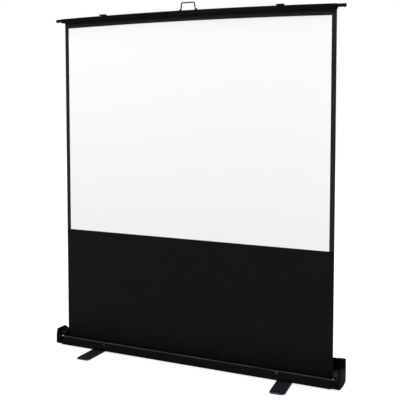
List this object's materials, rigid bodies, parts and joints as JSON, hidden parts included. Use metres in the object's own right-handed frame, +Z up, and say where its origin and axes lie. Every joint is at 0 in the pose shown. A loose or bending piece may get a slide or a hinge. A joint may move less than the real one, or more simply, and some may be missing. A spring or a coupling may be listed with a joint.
{
  "type": "pull up projection screen",
  "caption": "Floor standing pull up projection screen: low case with roller, flat feet, telescopic rear mast, top bar and white surface with black borders.",
  "frame": {"origin": "on the floor, in the plane of the fabric, midway between the feet", "axes": "+Z up, +X to the viewer's right along the case, viewing side towards -Y"},
  "size_m": [1.7862, 0.464, 2.0491],
  "materials": {
    "case_black": "satin black coated aluminium",
    "moulded_black": "semi gloss moulded black",
    "black_fabric": "matt black coated cloth",
    "white_fabric": "matt white viewing coat",
    "foot_paint": "dark textured paint",
    "latch_paint": "black paint",
    "wire": "dark coated wire",
    "zinc_steel": "zinc plated",
    "bare_aluminium": "brushed anodised",
    "rubber": "matt rubber"
  },
  "bodies": {
    "root": {"base_tray": "case_black", "roller_cover": "case_black", "rear_housing": "case_black", "end_cap_left": "moulded_black", "end_cap_right": "moulded_black", "cap_screw_left": "zinc_steel", "cap_screw_right": "zinc_steel", "roller_bracket_left": "zinc_steel", "roller_bracket_right": "zinc_steel", "latch_keeper_left": "zinc_steel", "latch_keeper_right": "zinc_steel", "foot_rivet_left": "zinc_steel", "foot_rivet_right": "zinc_steel", "foot_washer_left": "moulded_black", "foot_washer_right": "moulded_black", "mast_bracket": "zinc_steel", "mast_hinge_pin": "zinc_steel", "spring_spindle": "zinc_steel", "fabric_sheet": "black_fabric", "white_surface": "white_fabric"},
    "roller": {"roller_tube": "bare_aluminium", "roller_plug_left": "moulded_black", "roller_plug_right": "moulded_black", "fabric_roll": "black_fabric", "return_spring": "zinc_steel"},
    "bar": {"top_bar": "case_black", "fabric_spline": "moulded_black", "lift_bracket": "zinc_steel", "bar_end_left": "moulded_black", "bar_end_right": "moulded_black", "latch_hinge_left": "latch_paint", "latch_hinge_right": "latch_paint", "latch_pin_left": "zinc_steel", "latch_pin_right": "zinc_steel", "bail_ear_left": "latch_paint", "bail_ear_right": "latch_paint"},
    "bail": {"bail_handle": "wire"},
    "latch_left": {"latch_strap_left": "latch_paint"},
    "latch_right": {"latch_strap_right": "latch_paint"},
    "mast_outer": {"mast_root": "moulded_black", "mast_outer_tube": "bare_aluminium", "clamp_collar_lower": "moulded_black", "clamp_pin_lower": "zinc_steel"},
    "mast_middle": {"mast_middle_tube": "bare_aluminium", "clamp_collar_upper": "moulded_black", "clamp_pin_upper": "zinc_steel"},
    "mast_inner": {"mast_inner_tube": "bare_aluminium", "mast_head": "moulded_black", "tongue_pin": "zinc_steel"},
    "tongue": {"support_tongue": "zinc_steel"},
    "lever_lower": {"clamp_lever_lower": "moulded_black"},
    "lever_upper": {"clamp_lever_upper": "moulded_black"},
    "foot_left": {"foot_left": "foot_paint", "foot_pad_left_front": "rubber", "foot_pad_left_rear": "rubber"},
    "foot_right": {"foot_right": "foot_paint", "foot_pad_right_front": "rubber", "foot_pad_right_rear": "rubber"}
  },
  "joints": [
    {"name": "bar_lift", "type": "slide", "parent": "root", "child": "bar", "axis": [0, 0, 1], "range_m": [-1.8745, 0], "deforming": ["fabric_sheet", "white_surface"]},
    {"name": "roller_spin", "type": "hinge", "parent": "root", "child": "roller", "pos_m": [0, 0.0213, 0.0411], "axis": [1, 0, 0], "range_deg": [0, 5170]},
    {"name": "mast_fold", "type": "hinge", "parent": "root", "child": "mast_outer", "pos_m": [0, 0.071, 0.098], "axis": [0, 1, 0], "range_deg": [-90, 0]},
    {"name": "mast_middle_slide", "type": "slide", "parent": "mast_outer", "child": "mast_middle", "axis": [0, 0, 1], "range_m": [-0.54, 0]},
    {"name": "mast_inner_slide", "type": "slide", "parent": "mast_middle", "child": "mast_inner", "axis": [0, 0, 1], "range_m": [-0.54, 0]},
    {"name": "tongue_fold", "type": "hinge", "parent": "mast_inner", "child": "tongue", "pos_m": [0, 0.0505, 1.98075], "axis": [-1, 0, 0], "range_deg": [-90, 0]},
    {"name": "lever_lower_turn", "type": "hinge", "parent": "mast_outer", "child": "lever_lower", "pos_m": [0.0215, 0.071, 0.82], "axis": [0, 1, 0], "range_deg": [-100, 0]},
    {"name": "lever_upper_turn", "type": "hinge", "parent": "mast_middle", "child": "lever_upper", "pos_m": [-0.0196, 0.071, 1.409], "axis": [0, -1, 0], "range_deg": [-100, 0]},
    {"name": "bail_swing", "type": "hinge", "parent": "bar", "child": "bail", "pos_m": [0, -0.014, 2.0088], "axis": [1, 0, 0], "range_deg": [-94, 82]},
    {"name": "latch_left_swing", "type": "hinge", "parent": "bar", "child": "latch_left", "pos_m": [-0.546, -0.044, 2.00358], "axis": [-1, 0, 0], "range_deg": [-259.5, 0]},
    {"name": "latch_right_swing", "type": "hinge", "parent": "bar", "child": "latch_right", "pos_m": [0.546, -0.044, 2.00358], "axis": [-1, 0, 0], "range_deg": [-259.5, 0]},
    {"name": "foot_left_swivel", "type": "hinge", "parent": "root", "child": "foot_left", "pos_m": [-0.585, 0, 0.0086], "axis": [0, 0, 1], "range_deg": [-90, 0]},
    {"name": "foot_right_swivel", "type": "hinge", "parent": "root", "child": "foot_right", "pos_m": [0.585, 0, 0.0086], "axis": [0, 0, -1], "range_deg": [-84, 0]}
  ],
  "couplings": [
    {"joint": "roller_spin", "follows": "bar_lift", "rad_per_m": -48.077}
  ]
}
